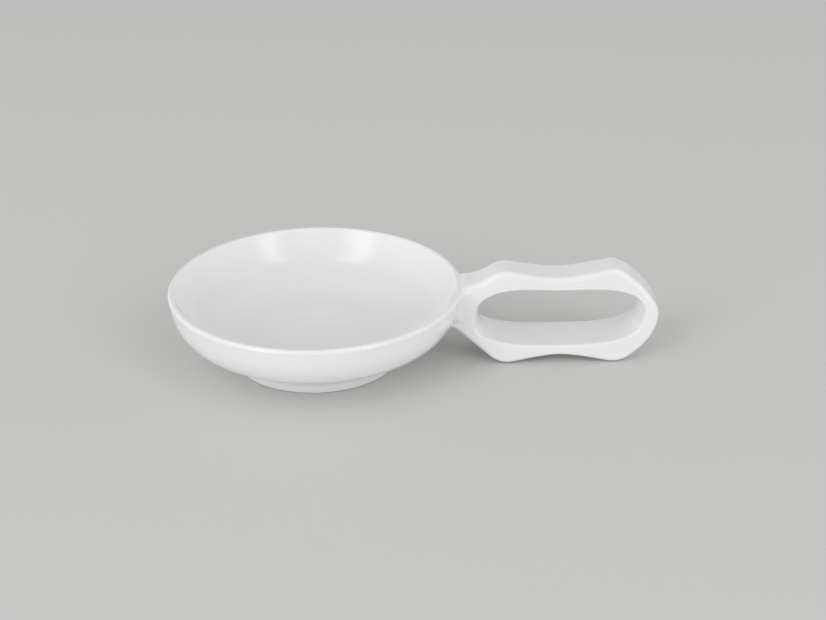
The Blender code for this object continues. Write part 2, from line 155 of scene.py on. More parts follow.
# Rounded edges of the loop
EDGE_ROUND = 1.2 * MM
LEAST_EDGE_SHARE = 0.9  # of the edge's round that is kept where clay is short
NECK_EDGE_ROUND = 1.6 * MM
NECK_EDGE_FROM = 49.0 * MM
NECK_EDGE_FULL = 44.0 * MM
END_EDGE_ROUND = 0.3 * MM
END_EDGE_FADE = (0.2 * MM, 3.6 * MM)  # from the hidden end, whose round grows to the others'
EDGE_FLAT = 0.3 * MM  # face left between the outer edge's round and the hole's
HOLE_EDGE_ROUND = 0.6 * MM
HOLE_STRIDE = 4  # one point in so many stands for the hole when distances from it are measured
END_STRIDE = 8
EDGE_RAILS = 10
FACE_RAILS = 14
RIM_RAILS = 12

# Luting fillet
FILLET_LEG = 4.4 * MM
FILLET_UNDER_LEG = 0.25 * MM
FILLET_FADE = 4.5 * MM  # height over the undercut where the leg is full
FILLET_RINGS = 26
FILLET_ROOT = 0.6 * MM  # how far its hidden rings lie past its edges
FILLET_HIDDEN_SHARE = 0.6  # size of its hidden rings beside that of the others
FILLET_BED = 0.15 * MM  # how far the neck is sunk under it
BED_LENGTH = 0.7 * MM
BED_MARGIN = 0.15 * MM
FILLET_SUNK = 0.006 * MM
VALLEY_REACH = (38.0 * MM, 40.2 * MM)  # where its top drops from the neck's top to just under the rim
VALLEY_SUNK = 0.05 * MM
PLACING_STEPS = 60
NECK_EDGE_POINTS = 16
NECK_FLAT_POINTS = 14
NECK_SIDE_POINTS = 44

# Colours of the finish
GLAZE_WHITE = (0.850, 0.851, 0.850, 1.0)
GLAZE_POOLED = (0.815, 0.822, 0.824, 1.0)
# The thin-glaze colour is warmer and a little paler than the white: thin glaze, and a painted edge highlight
GLAZE_THIN_AND_HIGHLIGHT = (0.868, 0.865, 0.856, 1.0)
SPECK_BROWN = (0.10, 0.085, 0.07, 1.0)
BISQUE = (0.70, 0.675, 0.63, 1.0)
BISQUE_GRIT = (0.50, 0.46, 0.41, 1.0)

# Glaze: clouds and cells are so many to the metre, and a pair is where a change starts and ends
GLAZE_IOR = 1.5
GLAZE_COAT = 0.30
COAT_ROUGHNESS = 0.06
CLOUD_DETAIL = 2.0
NOISE_SPAN = (0.3, 0.7)
TONE_CLOUDS = 38.0
TONE_SWING = (-1.0, 1.0)
POOL_CLOUDS = 160.0
POOL_BENDS = (0.1, 0.9)
POOL_NOISE_SPAN = (0.2, 0.8)
POOL_SHARES = (0.7, 1.0)
# Where the glaze is drawn thin over convex edges: warmer, drier glaze, and a painted edge highlight in its
# colour
THIN_AND_HIGHLIGHT_CLOUDS = 240.0
THIN_AND_HIGHLIGHT_BENDS = (0.25, 0.9)
THIN_AND_HIGHLIGHT_SHARES = (0.4, 1.0)
THIN_ROUGHENS = 0.05
THIN_DULLS_COAT = 0.15
SPECK_CELLS = 240.0
SPECK_EDGE = (0.045, 0.02)
SPECK_RARITY = 0.93
SPECK_STRENGTH = 0.35
SMEAR_CLOUDS = 520.0
SMEAR_DETAIL = 3.0
SMEAR_SWING = (-0.03, 0.03)
SWELL_CLOUDS = 85.0
RIPPLE_CLOUDS = 330.0
RIPPLE_SHARE = 0.35
RIPPLE_DETAIL = 1.0
RIPPLE_DEPTH = 0.010 * MM
BOWL_FINISH = (0.010, 0.11)  # change of tone and roughness of the glaze on each piece
HANDLE_FINISH = (0.010, 0.11)
FILLET_FINISH = (0.008, 0.10)
FOOT_FINISH = (0.012, 0.13)

# The one dark speck on the front lip
LIP_SPECK_TURN = math.radians(-71.5)
LIP_SPECK_RADIUS = 38.87 * MM
LIP_SPECK_HEIGHT = 19.98 * MM
LIP_SPECK_SIZE = 0.24 * MM
LIP_SPECK_CORE = 0.4
LIP_SPECK_STRENGTH = 0.75

# Bare clay under the foot, and the line where the glaze is wiped off
FINE_GRIT = 5200.0
FINE_GRIT_DETAIL = 4.0
FINE_GRIT_SPAN = (0.5, 0.75)
COARSE_GRIT = 900.0
COARSE_GRIT_SPAN = (0.35, 0.7)
BISQUE_NOISE_SPAN = (0.2, 0.8)
BISQUE_ROUGHNESS = (0.62, 0.86)
WIPE_LINE = 0.32 * MM
WIPE_CLOUDS = 420.0
WIPE_NOISE_SPAN = (0.25, 0.75)
WIPE_WAVER = 0.12 * MM
WIPE_BLUR = 0.06 * MM
FOOT_RELIEF = 0.03 * MM
GLAZE_RISE = 1.2  # level of the glaze on the scale of the clay's relief

# Floor
FLOOR_TONE = (0.66, 0.66, 0.65, 1.0)
FLOOR_BOUNCE = (0.80, 0.80, 0.795, 1.0)
FLOOR_ROUGHNESS = 0.9
FLOOR_SHINE = 0.1
FLOOR_REACH = 3.0
FLOOR_SIDES = 96

# Light: a direction's parts go from -1 to 1, with left, front and down below zero
SURROUND_LOW = 0.77
SURROUND_HIGH = 0.61
SURROUND_LEFT = 0.60
SURROUND_RIGHT = 0.40
SURROUND_BEHIND = 0.76
SURROUND_WHITE = (1.0, 1.0, 1.0, 1.0)
LEFTWARDS = (-0.2, -1.0)
RIGHTWARDS = (0.2, 1.0)
UPWARDS = (0.0, 0.8)
BACKWARDS = (-0.2, 0.9)
GLOW_HIGH_SHARE = 0.4
LIGHT_AIM = Vector((-0.026, 0.0, 0.012))
SOFT_BOXES = (  # name, azimuth and elevation in degrees, distance, width, height, radiance
    ("right_box", -48.0, 28.0, 1.00, 0.38, 1.05, 0.76),
    ("right_box_middle", -48.0, 28.0, 0.99, 0.20, 0.80, 0.95),
    ("left_box", -130.0, 30.0, 1.00, 0.50, 1.10, 0.90),
    ("left_box_middle", -130.0, 30.0, 0.99, 0.26, 0.85, 1.10),
)

# Camera
VIEW_LENS = 87.17
VIEW_SENSOR = 36.0
VIEW_NEAREST = 0.01
VIEW_TARGET = Vector((-0.089, -0.286, 13.035)) * MM
VIEW_DISTANCE = 534.08 * MM
VIEW_ELEVATION = math.radians(25.875)
VIEW_TURN = math.radians(0.855)
VIEW_ROLL = math.radians(-0.638)

# Places that follow from the sizes above
LIP_RADIUS = LIP_THICKNESS / 2
LIP_CENTRE = np.array((RIM_RADIUS - LIP_RADIUS, RIM_HEIGHT - LIP_RADIUS))
BASE = np.array((FOOT_RADIUS - FOOT_STEP, BASE_HEIGHT))
WELL_FLOOR_LEVEL = BASE_HEIGHT + WELL_FLOOR_THICKNESS
UNDERCUT_SLOPE = (HANDLE_LIFT - NECK_FLOOR) / (NEAR_FOOT_X - RIM_RADIUS)
UNDERCUT_STRETCH = math.hypot(1.0, UNDERCUT_SLOPE)


def ease(value, low, high):
    """Smooth step from 0 at low to 1 at high: 3t^2 - 2t^3."""
    t = np.clip((value - low) / (high - low), 0.0, 1.0)
    return t * t * (3 - 2 * t)


def arc(centre, radius, start, end, count=ARC_POINTS):
    """Points on a circle: the centre plus the radius along evenly stepped angles."""
    angle = np.linspace(start, end, count)
    return np.asarray(centre) + radius * np.column_stack((np.cos(angle), np.sin(angle)))


def conic(start, control, end, fullness, count=CONIC_POINTS):
    """Three points weighed by (1-t)^2, 2wt(1-t) and t^2, over the sum of the weights."""
    t = np.linspace(0.0, 1.0, count)[:, None]
    first, middle, last = (1 - t) ** 2, 2 * fullness * t * (1 - t), t ** 2
    return (first * start + middle * control + last * end) / (first + middle + last)


def straight(start, end, count=LINE_POINTS):
    """Evenly stepped points from start to end."""
    t = np.linspace(0.0, 1.0, count)[:, None]
    return (1 - t) * np.asarray(start) + t * np.asarray(end)


def lengths_along(path):
    """Length of a path from its start to each of its points."""
    return np.concatenate(([0.0], np.cumsum(np.linalg.norm(np.diff(path, axis=0), axis=1))))


def points_at(path, places):
    """Points of a path at given lengths from its start."""
    along = lengths_along(path)
    return np.column_stack([np.interp(places, along, path[:, k]) for k in range(path.shape[1])])


def soften(path, spread, spacing, closed):
    """A path of evenly spaced points, each replaced by the bell-weighted mean of its neighbours."""
    reach = int(math.ceil(BELL_REACH * spread / spacing))
    offsets = np.arange(-reach, reach + 1)
    weights = np.exp(-0.5 * (offsets * spacing / spread) ** 2)
    weights /= weights.sum()
    if closed:
        padded = np.concatenate((path[-reach:], path, path[:reach]))
    else:
        head = 2 * path[0] - path[reach:0:-1]
        tail = 2 * path[-1] - path[-2:-reach - 2:-1]
        padded = np.concatenate((head, path, tail))
    return np.column_stack([np.convolve(padded[:, k], weights, "valid") for k in range(path.shape[1])])


def knuckle():
    """Centre and lower slope of the bend that touches the leaning wall and the line up from the base."""
    wall_foot = LIP_CENTRE + LIP_RADIUS * np.array((math.cos(WALL_LEAN), -math.sin(WALL_LEAN)))
    bend_z = RIM_HEIGHT - WALL_DROP
    bend = np.array((wall_foot[0] - (wall_foot[1] - bend_z) * math.tan(WALL_LEAN), bend_z))
    slope = math.atan2(bend[1] - BASE[1], bend[0] - BASE[0])
    half_turn = (math.pi / 2 - WALL_LEAN - slope) / 2
    up_wall = np.array((math.sin(WALL_LEAN), math.cos(WALL_LEAN)))
    inward = np.array((-math.cos(WALL_LEAN), math.sin(WALL_LEAN)))
    return bend + KNUCKLE_RADIUS * (up_wall * math.tan(half_turn) + inward), slope


def well_profile():
    """Radius and height from the well's middle to the top of the lip: a conic for the floor, an arc for
    the inner knuckle, the straight wall that touches this arc and the lip's, and the lip's arc."""
    centre, slope = knuckle()
    inside = KNUCKLE_RADIUS - WALL_THICKNESS
    across = LIP_CENTRE - centre
    lean = math.acos((inside + LIP_RADIUS) / math.hypot(*across)) - math.atan2(across[1], across[0])
    bend = arc(centre, inside, slope - math.pi / 2, -lean)
    run = (bend[0, 1] - WELL_FLOOR_LEVEL) / math.tan(slope)
    control = np.array((bend[0, 0] - run, WELL_FLOOR_LEVEL))
    floor = conic(np.array((0.0, WELL_FLOOR_LEVEL)), control, bend[0], WELL_FLOOR_FULLNESS)
    lip = arc(LIP_CENTRE, LIP_RADIUS, math.pi - lean, math.pi / 2)
    return np.concatenate((floor[:-1], bend, lip))


def outside_profile():
    """Radius and height from the top of the lip down to the base: lip, wall, knuckle and underside."""
    centre, slope = knuckle()
    lip = arc(LIP_CENTRE, LIP_RADIUS, math.pi / 2, -WALL_LEAN)
    bend = arc(centre, KNUCKLE_RADIUS, -WALL_LEAN, slope - math.pi / 2)
    return np.concatenate((lip, bend, BASE[None]))


def bowl_profile():
    """The whole section from the well's middle over the lip to the base's middle: softened away from the
    lip and the base's corner so that the bends flow, and with its points closest together round the
    lip."""
    profile = np.concatenate((well_profile(), outside_profile()[1:], [[0.0, BASE_HEIGHT]]))
    length = lengths_along(profile)[-1]
    count = int(length / PROFILE_STEP)
    even = points_at(profile, np.linspace(0.0, length, count))
    soft = soften(even, PROFILE_SOFTNESS, length / (count - 1), closed=False)
    from_lip = np.hypot(even[:, 0] - LIP_CENTRE[0], even[:, 1] - LIP_CENTRE[1])
    from_base = np.hypot(even[:, 0] - BASE[0], even[:, 1] - BASE[1])
    share = ease(np.minimum(from_lip, from_base), *SOFTNESS_FADE)[:, None]
    share[even[:, 1] <= BASE_HEIGHT] = 0.0
    profile = even + (soft - even) * share
    step = LIP_STEP + (WELL_FLOOR_STEP - LIP_STEP) * ease(from_lip, *LIP_STEP_FADE)
    tally = np.cumsum(length / (count - 1) / step)
    wanted = np.linspace(tally[0], tally[-1], int(tally[-1]))
    return np.column_stack([np.interp(wanted, tally, profile[:, k]) for k in (0, 1)])


SECTION = bowl_profile()
WALL = SECTION[SECTION[:, 1].argmax():][::-1]
WALL = WALL[WALL[:, 0] > BASE[0]]


def wall_radius(z):
    """Radius of the bowl's outside at a height."""
    return np.interp(z, WALL[:, 1], WALL[:, 0])


def half_depth(z):
    """Half the handle's depth along Y, which tapers from its foot to its top."""
    share = (z - HANDLE_LIFT) / (HANDLE_HEIGHT - HANDLE_LIFT)
    return (HANDLE_DEPTH_FOOT + (HANDLE_DEPTH_TOP - HANDLE_DEPTH_FOOT) * share) / 2


def undercut_height(x):
    """Height of the neck's lower line."""
    return NECK_FLOOR + UNDERCUT_SLOPE * (x - RIM_RADIUS)


def fillet_leg(x, z):
    """Width of the fillet: full on the neck's top and sides, and narrow under it."""
    above = z - undercut_height(x)
    return FILLET_UNDER_LEG + (FILLET_LEG - FILLET_UNDER_LEG) * ease(above, 0.0, FILLET_FADE)


def grid_normals(rings, wrap):
    """Unit normals of a grid of rings, square to the steps along and across the rings."""
    across = np.roll(rings, -1, axis=1) - np.roll(rings, 1, axis=1)
    if wrap:
        along = np.roll(rings, -1, axis=0) - np.roll(rings, 1, axis=0)
    else:
        along = np.gradient(rings, axis=0)
    normals = np.cross(across, along)
    return normals / np.maximum(np.linalg.norm(normals, axis=-1, keepdims=True), LEAST_NORMAL)


def outward_bend(rings, wrap):
    """How sharply the surface turns outwards, per metre: twice each point's height over the middle of its
    two neighbours, over their squared spacing, summed along and across the rings. Hollows count below
    zero."""
    normals = grid_normals(rings, wrap)
    total = np.zeros(rings.shape[:2])
    for axis in (0, 1):
        before, after = np.roll(rings, 1, axis=axis), np.roll(rings, -1, axis=axis)
        if axis == 0 and not wrap:
            before[0], after[-1] = rings[0], rings[-1]
        spacing = np.linalg.norm(after - before, axis=-1) / 2
        height = np.einsum("ijk,ijk->ij", rings - (before + after) / 2, normals)
        bend = 2 * height / np.maximum(spacing, LEAST_SPACING) ** 2
        total += np.where(spacing > LEAST_SPACING, bend, 0.0)
    return total


def add_piece(name, rings, wrap, material, poles=(), bends=None):
    """Skin a grid of closed rings with quads. The last ring meets the first when wrap is set, and
    otherwise each pole is a point that closes an end ring with a fan. The bend of the surface is kept for
    the glaze."""
    bends = (outward_bend(rings, wrap) if bends is None else bends).reshape(-1)
    rows, columns = rings.shape[:2]
    index = np.arange(rows * columns).reshape(rows, columns)
    loop = np.vstack((index, index[:1])) if wrap else index
    here, ahead = loop[:-1], loop[1:]
    quads = np.stack((here, np.roll(here, -1, axis=1), np.roll(ahead, -1, axis=1), ahead), axis=-1)
    points = rings.reshape(-1, 3)
    faces = quads.reshape(-1, 4).tolist()
    for pole, ring, turn in zip(poles, (index[0], index[-1]), (1, -1)):
        fan = np.stack((np.full(columns, len(points)), np.roll(ring, -turn), ring), axis=-1)
        points = np.vstack((points, pole))
        bends = np.append(bends, 0.0)
        faces += fan.tolist()
    mesh = bpy.data.meshes.new(name)
    mesh.from_pydata((points + np.array((AXIS_X, 0.0, 0.0))).tolist(), [], faces)
    # Convex bends mark thin glaze over edges, which the glaze also paints paler as an edge highlight
    for attribute, sign in (("thin_glaze_and_highlight", 1.0), ("pooled_glaze", -1.0)):
        layer = mesh.attributes.new(attribute, "FLOAT", "POINT")
        layer.data.foreach_set("value", np.clip(sign * bends * MM, 0.0, 1.0).astype(np.float32))
    mesh.materials.append(material)
    mesh.shade_smooth()
    mesh.set_sharp_from_angle(angle=SHARP_ANGLE)
    mesh.validate()
    piece = bpy.data.objects.new(name, mesh)
    bpy.context.scene.collection.objects.link(piece)
    return piece


def turned(profile, turns):
    """Rings of a turned surface: each profile point's radius swept round Z at its height."""
    angle = np.linspace(0.0, math.tau, turns, endpoint=False)
    radius, height = profile[:, :1], profile[:, 1:]
    return np.stack((radius * np.cos(angle), radius * np.sin(angle), height + 0 * angle), axis=-1)


def glazed_bowl(material):
    """The bowl: its profile from the base over the lip to the well's middle, turned, with a point at each
    end."""
    poles = (0.0, 0.0, BASE_HEIGHT), (0.0, 0.0, SECTION[0, 1])
    return add_piece("glazed_bowl", turned(SECTION[-2:0:-1], BOWL_TURNS), False, material, poles)


def corner_fillet(corner, arriving, leaving, radius):
    """Arc that touches two lines through a corner, from the arriving line to the leaving one."""
    arriving, leaving = np.asarray(arriving), np.asarray(leaving)
    turn = math.acos(float(np.clip(arriving @ leaving, -1.0, 1.0)))
    reach = radius * math.tan(turn / 2)
    left_turn = arriving[0] * leaving[1] - arriving[1] * leaving[0] > 0
    side = 1.0 if left_turn else -1.0
    start = corner - arriving * reach
    centre = start + side * radius * np.array((-arriving[1], arriving[0]))
    first = math.atan2(*(start - centre)[::-1])
    return arc(centre, radius, first, first + side * turn, FOOT_CREASE_POINTS)


def foot_profile():
    """Closed section of the foot: flat standing edge, rounded corners, upright sides, and hollow creases
    of glaze that run out on the bowl's underside, outside and inside the ring."""
    inner = FOOT_RADIUS - FOOT_WIDTH
    slope = knuckle()[1]
    under = np.array((math.cos(slope), math.sin(slope)))
    crease = BASE + under * FOOT_STEP / under[0] + np.array((0.0, FOOT_SUNK))
    inner_crease = np.array((inner, BASE_HEIGHT + FOOT_SUNK))
    up, down, outwards = np.array((0.0, 1.0)), np.array((0.0, -1.0)), np.array((1.0, 0.0))
    return np.concatenate((
        arc((FOOT_RADIUS - FOOT_ROUND, FOOT_ROUND), FOOT_ROUND, -math.pi / 2, 0.0, FOOT_ROUND_POINTS),
        corner_fillet(crease, up, under, FOOT_CREASE),
        [crease + FOOT_ROOT * up, inner_crease + FOOT_ROOT * up],
        corner_fillet(inner_crease, outwards, down, FOOT_CREASE),
        arc((inner + FOOT_ROUND, FOOT_ROUND), FOOT_ROUND, math.pi, 1.5 * math.pi, FOOT_ROUND_POINTS),
        straight((inner + FOOT_ROUND, 0.0), (FOOT_RADIUS - FOOT_ROUND, 0.0), FOOT_FLAT_POINTS)[1:-1],
    ))


def glazed_foot(material):
    """The foot ring: its closed section turned, each section ring closing on the first."""
    return add_piece("glazed_foot", turned(foot_profile(), BOWL_TURNS), True, material)


def hollowed_edge(start, end, hollow):
    """Branch of a hyperbola between two peaks: with u from -1 to 1, the drop is the hollow times the fall
    of sqrt(u^2 + softness^2) from its ends, as a share of that fall at the middle."""
    u = np.linspace(-1.0, 1.0, HOLLOW_POINTS)
    most = math.hypot(1.0, HOLLOW_SOFTNESS)
    drop = (most - np.hypot(u, HOLLOW_SOFTNESS)) / (most - HOLLOW_SOFTNESS)
    return np.column_stack((np.linspace(start[0], end[0], HOLLOW_POINTS), start[1] + hollow * drop))


def hidden_end():
    """The neck's end inside the clay of the bowl's wall, down to the undercut."""
    z = np.linspace(HIDDEN_END_TOP, NECK_FLOOR, HIDDEN_END_POINTS)
    x = wall_radius(z) - HIDDEN_END_DEPTH
    keep = z > undercut_height(x)
    return np.column_stack((x, z))[keep]


def neck_top_line():
    """The neck's upper line: a straight slope down from the near peak, then the bend, a parabola, to the
    level by the lip."""
    peak = np.array((NEAR_TOP_X, HANDLE_HEIGHT))
    drop = HANDLE_HEIGHT - NECK_TOP
    bend = np.array((peak[0] - drop / math.tan(NECK_SLOPE), NECK_TOP))
    start = bend + NECK_BEND_CUT * np.array((math.cos(NECK_SLOPE), math.sin(NECK_SLOPE)))
    level = bend - np.array((NECK_BEND_CUT, 0.0))
    curve = conic(start, bend, level, PARABOLA, NECK_BEND_POINTS)
    return np.concatenate((straight(peak, start)[:-1], curve))


def loop_sides():
    """The loop's sides seen from the front, anticlockwise from the nose: conics by the nose, hollowed
    edges on top and below, the neck's lines and its hidden end. With the cut at each corner between two
    sides."""
    nose = np.array((NOSE_X, NOSE_LEVEL))
    top_far, top_near = np.array(((FAR_TOP_X, HANDLE_HEIGHT), (NEAR_TOP_X, HANDLE_HEIGHT)))
    foot_near, foot_far = np.array(((NEAR_FOOT_X, HANDLE_LIFT), (FAR_FOOT_X, HANDLE_LIFT)))
    nose_top = np.array((NOSE_X, HANDLE_HEIGHT - (NOSE_X - FAR_TOP_X) * math.tan(SHOULDER_DIP)))
    nose_foot = np.array((NOSE_X, HANDLE_LIFT + (NOSE_X - FAR_FOOT_X) * math.tan(HEEL_DIP)))
    neck, end = neck_top_line(), hidden_end()
    neck = neck[neck[:, 0] > NECK_DIVE_X]
    sides = [
        conic(nose, nose_top, top_far, SHOULDER_FULLNESS),
        hollowed_edge(top_far, top_near, -TOP_HOLLOW),
        neck,
        straight(neck[-1], end[0]),
        end,
        straight(end[-1], foot_near),
        hollowed_edge(foot_near, foot_far, FOOT_HOLLOW),
        conic(foot_far, nose_foot, nose, HEEL_FULLNESS),
    ]
    cuts = [FAR_TOP_CUT, NEAR_TOP_CUT, NECK_DIVE_CUT, HIDDEN_END_CUT, HIDDEN_END_CUT]
    cuts += [NEAR_FOOT_CUT, FAR_FOOT_CUT]
    return sides, cuts


def loop_outline():
    """The loop's outline: each side without its cut ends, joined by curves that have the corners as
    control points, then spaced evenly and softened a little so that the bends flow."""
    sides, cuts = loop_sides()
    path = []
    for side, before, after in zip(sides, [0.0] + cuts, cuts + [0.0]):
        along = lengths_along(side)[-1]
        trimmed = points_at(side, np.linspace(before, along - after, SIDE_POINTS))
        if path:
            path.append(conic(path[-1][-1], side[0], trimmed[0], PARABOLA, CORNER_POINTS)[1:-1])
        path.append(trimmed)
    path = np.concatenate(path)[:-1]
    closed = np.vstack((path, path[:1]))
    length = lengths_along(closed)[-1]
    even = points_at(closed, np.linspace(0.0, length, OUTLINE_POINTS, endpoint=False))
    return soften(even, OUTLINE_SOFTNESS, length / OUTLINE_POINTS, closed=True)


def hole_outlines():
    """The finger hole's waist and its mouth on the faces, with the middle and the half sizes. The waist
    is a squared oval, |x|^n + |z|^n = 1 with each quarter's own power n. Its upper half is drawn down by
    the sag times (1 - x^2)^2, and it leans towards the nose. The mouth is the waist drawn out along X by
    the flare times the cube of the share of the half length."""
    left, right = RIM_RADIUS + ROOT_WEB, NOSE_X - NOSE_STRAP
    floor = HANDLE_LIFT + FOOT_HOLLOW + FOOT_STRAP
    ceiling = HANDLE_HEIGHT - TOP_HOLLOW - TOP_STRAP + CEILING_SAG
    half = np.array(((right - left) / 2, (ceiling - floor) / 2))
    middle = np.array(((left + right) / 2, (floor + ceiling) / 2))
    angle = np.linspace(-math.pi, math.pi, HOLE_POINTS, endpoint=False)
    ray = np.column_stack((np.cos(angle), np.sin(angle)))
    at_nose = (ray[:, 0] > 0).astype(int)
    above, below = np.take(HOLE_CEILING_SQUARENESS, at_nose), np.take(HOLE_FLOOR_SQUARENESS, at_nose)
    squareness = np.where(ray[:, 1] > 0, above, below)
    reach = (np.abs(ray) ** squareness[:, None]).sum(axis=1) ** (-1 / squareness)
    oval = ray * reach[:, None]
    sag = np.where(ray[:, 1] > 0, CEILING_SAG * (1 - oval[:, 0] ** 2) ** 2, 0.0)
    hole = middle + half * oval - np.column_stack((0 * sag, sag))
    hole[:, 0] += HOLE_LEAN * (hole[:, 1] - middle[1])
    closed = np.vstack((hole, hole[:1]))
    length = lengths_along(closed)[-1]
    even = points_at(closed, np.linspace(0.0, length, HOLE_POINTS, endpoint=False))
    waist = soften(even, HOLE_SOFTNESS, length / HOLE_POINTS, closed=True)
    flare = HOLE_FLARE * ((waist[:, 0] - middle[0]) / half[0]) ** 3
    return waist, waist + np.column_stack((flare, 0 * flare)), middle, half


def hole_points(facing):
    """Points of the hole's mouth, their directions into the clay, the points of the waist and the slope
    of the flare there, one of each for each point of the front face's outer border, so that the border,
    the mouth's rounded edge and the hole's middle lie on one ray."""
    waist, mouth, middle, half = hole_outlines()
    into_clay = -inward_normals(mouth)
    slope = np.arctan(2 * (mouth - waist)[:, 0] * into_clay[:, 0] / half_depth(mouth[:, 1]))
    border = (mouth + into_clay * HOLE_EDGE_ROUND - middle) / half
    turn = np.unwrap(np.arctan2(border[:, 1], border[:, 0]))
    wanted = (facing - middle) / half
    wanted = np.arctan2(wanted[:, 1], wanted[:, 0])
    table = np.column_stack((mouth, into_clay, waist, slope))
    order = np.argsort(turn)
    rows = [np.interp(wanted, turn[order], column[order], period=math.tau) for column in table.T]
    return np.column_stack(rows[:2]), np.column_stack(rows[2:4]), np.column_stack(rows[4:6]), rows[6]


def inward_normals(outline):
    """Unit directions into the clay, square to a closed anticlockwise outline."""
    along = np.roll(outline, -1, axis=0) - np.roll(outline, 1, axis=0)
    normals = np.column_stack((-along[:, 1], along[:, 0]))
    return normals / np.linalg.norm(normals, axis=1, keepdims=True)


def edge_rounds(outline):
    """Radius of the loop's outer edge at each outline point: small round the loop, fuller on the neck as
    far as the clay beside the hole allows, and least at the end that is hidden in the bowl."""
    fuller = 1 - ease(outline[:, 0], NECK_EDGE_FULL, NECK_EDGE_FROM)
    rounds = EDGE_ROUND + (NECK_EDGE_ROUND - EDGE_ROUND) * fuller
    mouth = hole_outlines()[1][::HOLE_STRIDE]
    clay = np.linalg.norm(outline[:, None] - mouth[None], axis=-1).min(axis=1) - HOLE_EDGE_ROUND
    rounds = np.minimum(rounds, np.maximum(clay - EDGE_FLAT, LEAST_EDGE_SHARE * EDGE_ROUND))
    end = hidden_end()[::END_STRIDE]
    away = np.linalg.norm(outline[:, None] - end[None], axis=-1).min(axis=1)
    return END_EDGE_ROUND + (rounds - END_EDGE_ROUND) * ease(away, *END_EDGE_FADE)


def rounded_edge(outline, into_clay, rounds, start=0.0):
    """Rails from an outline over its rounded edge to the front face: at each angle, from the start on,
    the rail moves into the clay by R(1 - cos a) and stands R(1 - sin a) behind the face."""
    angle = start + (math.pi / 2 - start) * np.linspace(0.0, 1.0, EDGE_RAILS)[:, None]
    inset = rounds * (1 - np.cos(angle))
    rails = outline + into_clay * inset[:, :, None]
    depth = half_depth(rails[..., 1]) - rounds * (1 - np.sin(angle))
    return np.stack((rails[..., 0], -depth, rails[..., 1]), axis=-1)


def between(first, last, count):
    """Rails evenly stepped between two rails, without them."""
    t = np.linspace(0.0, 1.0, count + 2)[1:-1, None, None]
    return (1 - t) * first + t * last


def mirrored(rails):
    """The same rails on the far side of the handle."""
    return rails * np.array((1.0, -1.0, 1.0))


def bore_rails(mouth, waist):
    """Rails through the hole from its front mouth to the far one: with v from -1 to 1, each point stands
    the square of v of the way from the waist to the mouth."""
    across = np.linspace(-1.0, 1.0, RIM_RAILS + 2)[1:-1, None]
    x = waist[:, 0] + (mouth[:, 0] - waist[:, 0]) * across ** 2
    z = waist[:, 1] + (mouth[:, 2] - waist[:, 1]) * across ** 2
    return np.stack((x, -mouth[:, 1] * across, z), axis=-1)


def loop_rails():
    """Rails round the loop's section: outer edge, front face, hole edge, hole, the same on the far side,
    and the outer rim."""
    outline = loop_outline()
    outer = rounded_edge(outline, inward_normals(outline), edge_rounds(outline))
    mouth, into_clay, waist, slope = hole_points(outer[-1][:, [0, 2]])
    inner = rounded_edge(mouth, into_clay, HOLE_EDGE_ROUND, slope)[::-1]
    face = between(outer[-1], inner[0], FACE_RAILS)
    front = np.concatenate((outer, face, inner))
    back = mirrored(front)[::-1]
    bore = bore_rails(front[-1], waist)
    rim = between(back[-1], front[0], RIM_RAILS)
    return np.concatenate((front, bore, back, rim))


def glazed_loop_handle(material):
    """The handle: its rails skinned round, and sunk a little where the fillet lies on its neck."""
    rails = loop_rails()
    x, y, z = np.moveaxis(rails, -1, 0)
    from_wall = np.hypot(x, y) - wall_radius(z)
    covered = (fillet_leg(x, z) - BED_MARGIN - from_wall) / BED_LENGTH
    bed = FILLET_BED * ease(covered, 0.0, 1.0)
    rails = rails - grid_normals(rails, True) * bed[..., None]
    return add_piece("glazed_loop_handle", rails, True, material)


def neck_section():
    """The neck's section as rows for one side, from the middle of its top down to the middle of its
    underside: share of the way from the upper line to the lower, height over that, share of the width,
    and depth under the side. Its edges are arcs, R(1 - cos a) by R(1 - sin a), the lower one stretched
    for the undercut's slope."""
    turn = np.linspace(0.0, math.pi / 2, NECK_EDGE_POINTS)[1:]
    flat = np.linspace(0.0, 1.0, NECK_FLAT_POINTS)
    down = np.linspace(0.0, 1.0, NECK_SIDE_POINTS)[1:]
    inset, sunk = NECK_EDGE_ROUND * (1 - np.cos(turn)), NECK_EDGE_ROUND * (1 - np.sin(turn))
    top = np.stack((0 * flat, 0 * flat, flat, 0 * flat + NECK_EDGE_ROUND))
    top_edge = np.stack((0 * turn, -inset, 0 * turn + 1, sunk))
    side_offset = NECK_EDGE_ROUND * (down * UNDERCUT_STRETCH - (1 - down))
    side = np.stack((down, side_offset, 0 * down + 1, 0 * down))
    low_edge = np.stack((0 * turn + 1, UNDERCUT_STRETCH * inset, 0 * turn + 1, sunk))[:, -2::-1]
    low = np.stack((0 * flat + 1, 0 * flat, 1 - flat, 0 * flat + NECK_EDGE_ROUND))
    return np.concatenate((top, top_edge, side, low_edge, low), axis=1)


